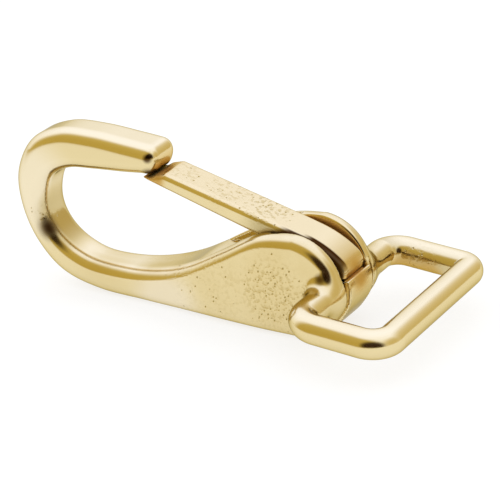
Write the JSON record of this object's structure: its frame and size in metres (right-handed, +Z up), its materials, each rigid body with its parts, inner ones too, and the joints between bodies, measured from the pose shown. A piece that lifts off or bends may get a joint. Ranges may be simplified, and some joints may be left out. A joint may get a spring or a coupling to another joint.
{
  "type": "snap hook",
  "caption": "Cast brass spring snap hook: a rounded hook with a slanted nose, an inward-swinging sprung gate between round cheeks, and a fixed rectangular strap eye set crosswise.",
  "frame": {"origin": "centre of the part's footprint on the table it rests on", "axes": "+X from the bow toward the strap eye, +Y across the hook, +Z up from the spine to the nose"},
  "size_m": [0.0782, 0.0356, 0.0291],
  "materials": {
    "cast_brass": "polished casting with small pits",
    "gate_brass": "polished casting with small pits",
    "pin_brass": "ground flush and polished",
    "spring_steel": "drawn wire"
  },
  "bodies": {
    "hook": {"hook_body": "cast_brass", "pivot_pin": "pin_brass", "gate_spring": "spring_steel"},
    "gate_lever": {"gate": "gate_brass"}
  },
  "joints": [
    {"name": "gate_hinge", "type": "hinge", "parent": "hook", "child": "gate_lever", "pos_m": [0.01549, 0, 0.0088], "axis": [0, -1, 0], "range_deg": [0, 26], "stiffness_Nm_per_rad": 0.06, "springref_deg": -34.38, "deforming": ["gate_spring"]}
  ]
}
